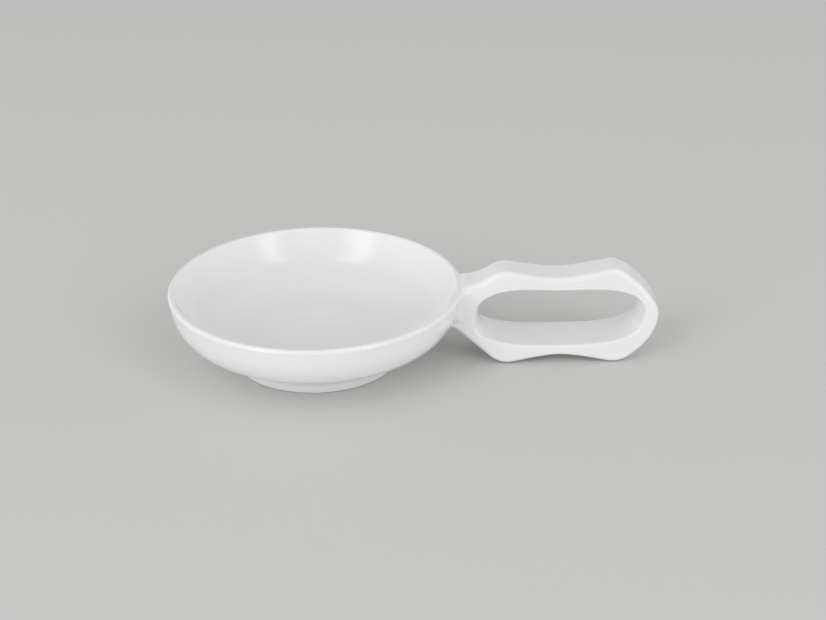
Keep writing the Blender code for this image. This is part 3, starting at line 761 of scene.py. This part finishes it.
def fillet_ring(section, top_line, leg_share, past, spread, sunk_edge=0.0, shrink=1.0):
    """One ring of the fillet: the neck's section, spread sideways by a share of the leg and downwards
    under the neck, at the place along the neck where each point stands leg_share of the leg, and a length
    past that, away from the bowl's wall. That place is found by stepping half way towards it again and
    again. The ring lies sunk_edge under the neck's skin where it isn't spread, and shrink draws it in to
    its middle."""
    low_share, offset, width, sunk = section
    x = np.full(low_share.shape, RIM_RADIUS)
    for _ in range(PLACING_STEPS):
        top = np.interp(x, top_line[:, 0], top_line[:, 1])
        low = undercut_height(x)
        z = top + (low - top) * low_share + offset
        leg = fillet_leg(x, z)
        y = width * (half_depth(z) - sunk)
        y = y * (1 + (spread * leg - sunk_edge) / half_depth(z))
        under = 1 - ease((z - low) / (NECK_EDGE_ROUND * UNDERCUT_STRETCH), 0.0, 1.0)
        z = z - spread * FILLET_UNDER_LEG * under + sunk_edge * (2 * low_share - 1)
        middle = (top + low) / 2
        y, z = y * shrink, middle + (z - middle) * shrink
        target = np.sqrt((wall_radius(z) + (leg * leg_share + past)) ** 2 - y ** 2)
        x = (x + target) / 2
    return np.column_stack((x, -y, z))


def neck_fillet(material):
    """The fillet: rings round the neck's root on a parabola, which stands leg(1 - t)^2 from the wall and
    leg t^2 out of the neck, closed by two rings that are hidden in the clay."""
    section = neck_section()
    top_line = neck_top_line()[::-1]
    top_line = np.concatenate(([[LIP_CENTRE[0], NECK_TOP]], top_line))
    by_lip = 1 - ease(top_line[:, 0], *VALLEY_REACH)
    top_line[:, 1] -= (NECK_TOP - RIM_HEIGHT + VALLEY_SUNK) * by_lip
    rings = [fillet_ring(section, top_line, 1.0, FILLET_ROOT, 0.0, shrink=FILLET_HIDDEN_SHARE)]
    for t in np.linspace(0.0, 1.0, FILLET_RINGS):
        sunk_neck, sunk_wall = FILLET_SUNK * (1 - t), FILLET_SUNK * t
        rings.append(fillet_ring(section, top_line, (1 - t) ** 2, -sunk_wall, t ** 2, sunk_neck))
    rings.append(fillet_ring(section, top_line, 0.0, -FILLET_ROOT, 1.0, shrink=FILLET_HIDDEN_SHARE))
    near = np.stack(rings)[::-1]
    rings = np.concatenate((near, mirrored(near)[:, -2:0:-1]), axis=1)
    bends = np.zeros(rings.shape[:2])
    bends[1:-1] = outward_bend(rings[1:-1], False)
    return add_piece("neck_luting_fillet", rings, True, material, bends=bends)


def add_node(tree, kind, inputs=None, **settings):
    """One shader node with its settings, and the values or links of its inputs by name or number."""
    node = tree.nodes.new(kind)
    for name, value in settings.items():
        setattr(node, name, value)
    for key, value in (inputs or {}).items():
        if isinstance(value, bpy.types.NodeSocket):
            tree.links.new(value, node.inputs[key])
        else:
            node.inputs[key].default_value = value
    return node


def calculate(tree, operation, first, second=0.0):
    """A number worked out from two others."""
    return add_node(tree, "ShaderNodeMath", {0: first, 1: second}, operation=operation).outputs[0]


def between_colours(tree, share, first, last):
    """A colour that goes from the first to the last by a share."""
    mix = add_node(tree, "ShaderNodeMix", {0: share, 6: first, 7: last}, data_type="RGBA")
    return mix.outputs[2]


def ramp(tree, value, low, high, to_low=0.0, to_high=1.0):
    """A number carried smoothly from one range to another."""
    inputs = {"Value": value, "From Min": low, "From Max": high, "To Min": to_low, "To Max": to_high}
    node = add_node(tree, "ShaderNodeMapRange", inputs, interpolation_type="SMOOTHSTEP")
    return node.outputs["Result"]


def cloud(tree, place, scale, detail=CLOUD_DETAIL):
    """Soft noise at a scale, per metre."""
    inputs = {"Vector": place, "Scale": scale, "Detail": detail}
    return add_node(tree, "ShaderNodeTexNoise", inputs).outputs["Fac"]


def new_group(name, inputs, outputs):
    """An empty node group with named sockets, and its input and output nodes."""
    group = bpy.data.node_groups.new(name, "ShaderNodeTree")
    for socket, kind in inputs.items():
        group.interface.new_socket(socket, in_out="INPUT", socket_type=kind)
    for socket, kind in outputs.items():
        group.interface.new_socket(socket, in_out="OUTPUT", socket_type=kind)
    return group, group.nodes.new("NodeGroupInput").outputs, group.nodes.new("NodeGroupOutput")


def glaze_group():
    """The fired glaze: slow changes of tone, cooler where it pools, warmer and drier where it is drawn thin
    over an edge, where it is also a little paler as a painted edge highlight, a faint ripple of two sizes, and
    rare iron specks."""
    inputs = {name: "NodeSocketColor" for name in ("White", "Pooled", "Thin And Highlight", "Speck")}
    inputs.update({"Tone Change": "NodeSocketFloat", "Roughness": "NodeSocketFloat"})
    outputs = {"Colour": "NodeSocketColor", "Roughness": "NodeSocketFloat"}
    outputs.update({"Coat": "NodeSocketFloat", "Height": "NodeSocketFloat"})
    group, given, result = new_group("fired_glaze", inputs, outputs)
    place = add_node(group, "ShaderNodeTexCoord").outputs["Object"]
    thin = add_node(group, "ShaderNodeAttribute", attribute_name="thin_glaze_and_highlight").outputs["Fac"]
    pooled = add_node(group, "ShaderNodeAttribute", attribute_name="pooled_glaze").outputs["Fac"]

    slow = ramp(group, cloud(group, place, TONE_CLOUDS), *NOISE_SPAN, *TONE_SWING)
    tone = calculate(group, "ADD", calculate(group, "MULTIPLY", slow, given["Tone Change"]), 1.0)
    gathered = ramp(group, pooled, *POOL_BENDS)
    patches = ramp(group, cloud(group, place, POOL_CLOUDS), *POOL_NOISE_SPAN, *POOL_SHARES)
    gathered = calculate(group, "MULTIPLY", gathered, patches)
    drawn = ramp(group, thin, *THIN_AND_HIGHLIGHT_BENDS)
    patches = ramp(group, cloud(group, place, THIN_AND_HIGHLIGHT_CLOUDS), *NOISE_SPAN, *THIN_AND_HIGHLIGHT_SHARES)
    drawn = calculate(group, "MULTIPLY", drawn, patches)
    colour = between_colours(group, gathered, given["White"], given["Pooled"])
    # Painted edge highlight: convex edges take the paler, warmer thin-glaze colour
    colour = between_colours(group, drawn, colour, given["Thin And Highlight"])
    shade = add_node(group, "ShaderNodeVectorMath", {0: colour, 3: tone}, operation="SCALE").outputs[0]

    cells = add_node(group, "ShaderNodeTexVoronoi", {"Vector": place, "Scale": SPECK_CELLS})
    dot = ramp(group, cells.outputs["Distance"], *SPECK_EDGE)
    chosen = add_node(group, "ShaderNodeSeparateColor", {0: cells.outputs["Color"]}).outputs[0]
    speck = calculate(group, "MULTIPLY", dot, calculate(group, "GREATER_THAN", chosen, SPECK_RARITY))
    speck = calculate(group, "MULTIPLY", speck, SPECK_STRENGTH)
    group.links.new(between_colours(group, speck, shade, given["Speck"]), result.inputs["Colour"])

    smear = ramp(group, cloud(group, place, SMEAR_CLOUDS, SMEAR_DETAIL), *NOISE_SPAN, *SMEAR_SWING)
    rough = calculate(group, "ADD", given["Roughness"], smear)
    rough = calculate(group, "ADD", rough, calculate(group, "MULTIPLY", drawn, THIN_ROUGHENS))
    group.links.new(rough, result.inputs["Roughness"])
    coat = calculate(group, "SUBTRACT", GLAZE_COAT, calculate(group, "MULTIPLY", drawn, THIN_DULLS_COAT))
    group.links.new(coat, result.inputs["Coat"])

    ripple = cloud(group, place, RIPPLE_CLOUDS, RIPPLE_DETAIL)
    ripple = calculate(group, "MULTIPLY", ripple, RIPPLE_SHARE)
    swell = cloud(group, place, SWELL_CLOUDS, RIPPLE_DETAIL)
    group.links.new(calculate(group, "ADD", swell, ripple), result.inputs["Height"])
    return group


def bisque_group():
    """The bare clay under the foot: grit of two sizes on a warm grey ground."""
    inputs = {"Clay": "NodeSocketColor", "Grit": "NodeSocketColor"}
    outputs = {"Colour": "NodeSocketColor", "Roughness": "NodeSocketFloat", "Height": "NodeSocketFloat"}
    group, given, result = new_group("bare_bisque", inputs, outputs)
    place = add_node(group, "ShaderNodeTexCoord").outputs["Object"]
    fine = cloud(group, place, FINE_GRIT, FINE_GRIT_DETAIL)
    coarse = cloud(group, place, COARSE_GRIT)
    grit = ramp(group, fine, *FINE_GRIT_SPAN)
    grit = calculate(group, "MULTIPLY", grit, ramp(group, coarse, *COARSE_GRIT_SPAN))
    group.links.new(between_colours(group, grit, given["Clay"], given["Grit"]), result.inputs["Colour"])
    rough = ramp(group, fine, *BISQUE_NOISE_SPAN, *BISQUE_ROUGHNESS)
    group.links.new(rough, result.inputs["Roughness"])
    group.links.new(calculate(group, "ADD", fine, coarse), result.inputs["Height"])
    return group


GLAZE = glaze_group()
BISQUE_CLAY = bisque_group()


def porcelain(name):
    """A new material with a clear, smooth coat of glass over a white body."""
    material = bpy.data.materials.new(name)
    material.use_nodes = True
    tree = material.node_tree
    shader = tree.nodes["Principled BSDF"]
    shader.inputs["IOR"].default_value = GLAZE_IOR
    shader.inputs["Coat Roughness"].default_value = COAT_ROUGHNESS
    shader.inputs["Coat IOR"].default_value = GLAZE_IOR
    return material, tree, shader


def glaze_node(tree, tone_change, roughness):
    """The glaze group placed in a material with its own values."""
    inputs = {"White": GLAZE_WHITE, "Pooled": GLAZE_POOLED, "Thin And Highlight": GLAZE_THIN_AND_HIGHLIGHT, "Speck": SPECK_BROWN}
    inputs.update({"Tone Change": tone_change, "Roughness": roughness})
    return add_node(tree, "ShaderNodeGroup", inputs, node_tree=GLAZE).outputs


def ripple_normal(tree, height, depth):
    """Normal bent by a height that is depth metres from its lowest to its highest."""
    inputs = {"Height": height, "Distance": depth, "Strength": 1.0}
    return add_node(tree, "ShaderNodeBump", inputs).outputs["Normal"]


def finish_shader(tree, shader, colour, roughness, coat, normal):
    """Link what changes over the surface to the shader."""
    tree.links.new(colour, shader.inputs["Base Color"])
    tree.links.new(roughness, shader.inputs["Roughness"])
    tree.links.new(coat, shader.inputs["Coat Weight"])
    tree.links.new(normal, shader.inputs["Normal"])


def bowl_glaze():
    """Glaze of the bowl, with the one dark speck on its front lip."""
    material, tree, shader = porcelain("white_bowl_glaze")
    glaze = glaze_node(tree, *BOWL_FINISH)
    spot = (
        AXIS_X + LIP_SPECK_RADIUS * math.cos(LIP_SPECK_TURN),
        LIP_SPECK_RADIUS * math.sin(LIP_SPECK_TURN),
        LIP_SPECK_HEIGHT,
    )
    place = add_node(tree, "ShaderNodeTexCoord").outputs["Object"]
    away = add_node(tree, "ShaderNodeVectorMath", {0: place, 1: spot}, operation="DISTANCE")
    core = LIP_SPECK_CORE * LIP_SPECK_SIZE
    speck = ramp(tree, away.outputs["Value"], LIP_SPECK_SIZE, core, 0.0, LIP_SPECK_STRENGTH)
    colour = between_colours(tree, speck, glaze["Colour"], SPECK_BROWN)
    normal = ripple_normal(tree, glaze["Height"], RIPPLE_DEPTH)
    finish_shader(tree, shader, colour, glaze["Roughness"], glaze["Coat"], normal)
    return material


def handle_glaze(name, tone_change, roughness):
    """Glaze of the handle or of its fillet."""
    material, tree, shader = porcelain(name)
    glaze = glaze_node(tree, tone_change, roughness)
    normal = ripple_normal(tree, glaze["Height"], RIPPLE_DEPTH)
    finish_shader(tree, shader, glaze["Colour"], glaze["Roughness"], glaze["Coat"], normal)
    return material


def foot_glaze():
    """Glaze of the foot, wiped off below a wavering line so that the standing edge is bare clay."""
    material, tree, shader = porcelain("white_foot_glaze")
    glaze = glaze_node(tree, *FOOT_FINISH)
    clay = {"Clay": BISQUE, "Grit": BISQUE_GRIT}
    bare = add_node(tree, "ShaderNodeGroup", clay, node_tree=BISQUE_CLAY).outputs
    place = add_node(tree, "ShaderNodeTexCoord").outputs["Object"]
    height = add_node(tree, "ShaderNodeSeparateXYZ", {0: place}).outputs["Z"]
    waver = ramp(tree, cloud(tree, place, WIPE_CLOUDS), *WIPE_NOISE_SPAN, -WIPE_WAVER, WIPE_WAVER)
    line = calculate(tree, "ADD", height, waver)
    glazed = ramp(tree, line, WIPE_LINE - WIPE_BLUR, WIPE_LINE + WIPE_BLUR)
    colour = between_colours(tree, glazed, bare["Colour"], glaze["Colour"])
    rough_step = calculate(tree, "SUBTRACT", glaze["Roughness"], bare["Roughness"])
    rough_step = calculate(tree, "MULTIPLY", rough_step, glazed)
    roughness = calculate(tree, "ADD", bare["Roughness"], rough_step)
    coat = calculate(tree, "MULTIPLY", glaze["Coat"], glazed)
    grain = calculate(tree, "MULTIPLY", bare["Height"], calculate(tree, "SUBTRACT", 1.0, glazed))
    skin = calculate(tree, "ADD", grain, calculate(tree, "MULTIPLY", glazed, GLAZE_RISE))
    normal = ripple_normal(tree, skin, FOOT_RELIEF)
    finish_shader(tree, shader, colour, roughness, coat, normal)
    return material


def plain_floor():
    """A wide round of plain pale paper under the dish, one disc round the middle. It looks grey to the
    camera and in the glaze, and lights the dish from below as paler paper would."""
    angle = np.linspace(0.0, math.tau, FLOOR_SIDES, endpoint=False)
    rim = FLOOR_REACH * np.column_stack((np.cos(angle), np.sin(angle), 0 * angle))
    mesh = bpy.data.meshes.new("pale_floor")
    mesh.from_pydata(rim.tolist(), [], [list(range(len(rim)))])
    material = bpy.data.materials.new("pale_paper")
    material.use_nodes = True
    tree = material.node_tree
    shader = tree.nodes["Principled BSDF"]
    path = tree.nodes.new("ShaderNodeLightPath").outputs
    seen = calculate(tree, "MAXIMUM", path["Is Glossy Ray"], path["Is Transmission Ray"])
    seen = calculate(tree, "MAXIMUM", seen, path["Is Camera Ray"])
    tree.links.new(between_colours(tree, seen, FLOOR_BOUNCE, FLOOR_TONE), shader.inputs["Base Color"])
    shader.inputs["Roughness"].default_value = FLOOR_ROUGHNESS
    shader.inputs["Specular IOR Level"].default_value = FLOOR_SHINE
    mesh.materials.append(material)
    floor = bpy.data.objects.new("pale_floor", mesh)
    bpy.context.scene.collection.objects.link(floor)


def soft_box(name, azimuth, elevation, distance, width, height, radiance):
    """A flat lamp that faces the dish, so bright that it shows at the given radiance in a mirror."""
    azimuth, elevation = math.radians(azimuth), math.radians(elevation)
    away = Vector((
        math.cos(elevation) * math.cos(azimuth),
        math.cos(elevation) * math.sin(azimuth),
        math.sin(elevation),
    ))
    lamp = bpy.data.lights.new(name, "AREA")
    lamp.shape = "RECTANGLE"
    lamp.size, lamp.size_y = width, height
    lamp.energy = math.pi * width * height * radiance
    box = bpy.data.objects.new(name, lamp)
    box.location = LIGHT_AIM + away * distance
    box.rotation_euler = away.to_track_quat("Z", "Y").to_euler()
    box.visible_camera = False
    bpy.context.scene.collection.objects.link(box)


def studio_light():
    """A pale surround, brighter low down, most so at the left and right, and darker behind the dish, and
    a tall soft box on each side of the camera with a brighter middle."""
    world = bpy.data.worlds.new("pale_surround")
    world.use_nodes = True
    tree = world.node_tree
    towards = add_node(tree, "ShaderNodeTexCoord").outputs["Generated"]
    side, behind, height = add_node(tree, "ShaderNodeSeparateXYZ", {0: towards}).outputs
    left = ramp(tree, side, *LEFTWARDS, 0.0, SURROUND_LEFT)
    right = ramp(tree, side, *RIGHTWARDS, 0.0, SURROUND_RIGHT)
    glow = calculate(tree, "ADD", left, right)
    glow = calculate(tree, "MULTIPLY", glow, ramp(tree, height, *UPWARDS, 1.0, GLOW_HIGH_SHARE))
    tone = calculate(tree, "ADD", ramp(tree, height, *UPWARDS, SURROUND_LOW, SURROUND_HIGH), glow)
    tone = calculate(tree, "MULTIPLY", tone, ramp(tree, behind, *BACKWARDS, 1.0, SURROUND_BEHIND))
    background = tree.nodes["Background"].inputs
    background["Color"].default_value = SURROUND_WHITE
    tree.links.new(tone, background["Strength"])
    bpy.context.scene.world = world
    for box in SOFT_BOXES:
        soft_box(*box)


def photo_camera():
    """The camera at the photograph's angle: turned round the dish, tipped down and rolled a little."""
    forward = Vector((
        math.sin(VIEW_TURN) * math.cos(VIEW_ELEVATION),
        math.cos(VIEW_TURN) * math.cos(VIEW_ELEVATION),
        -math.sin(VIEW_ELEVATION),
    ))
    level = Vector((math.cos(VIEW_TURN), -math.sin(VIEW_TURN), 0.0))
    upright = level.cross(forward)
    right = math.cos(VIEW_ROLL) * level + math.sin(VIEW_ROLL) * upright
    up = math.cos(VIEW_ROLL) * upright - math.sin(VIEW_ROLL) * level
    lens = bpy.data.cameras.new("photo_view")
    lens.lens = VIEW_LENS
    lens.sensor_width = VIEW_SENSOR
    lens.clip_start = VIEW_NEAREST
    camera = bpy.data.objects.new("photo_view", lens)
    turn = Matrix((right, up, -forward)).transposed().to_4x4()
    camera.matrix_world = Matrix.Translation(VIEW_TARGET - forward * VIEW_DISTANCE) @ turn
    bpy.context.scene.collection.objects.link(camera)
    bpy.context.scene.camera = camera


def dress(piece, node):
    """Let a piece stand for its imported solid."""
    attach(piece, "root")
    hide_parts(node)


dress(glazed_bowl(bowl_glaze()), "dish_bowl")
dress(glazed_foot(foot_glaze()), "foot_ring")
loop_glaze = handle_glaze("white_handle_glaze", *HANDLE_FINISH)
dress(glazed_loop_handle(loop_glaze), "handle_loop")
fillet_glaze = handle_glaze("white_fillet_glaze", *FILLET_FINISH)
dress(neck_fillet(fillet_glaze), "handle_luting_fillet")
plain_floor()
studio_light()
photo_camera()
bpy.context.scene.view_settings.view_transform = "Standard"
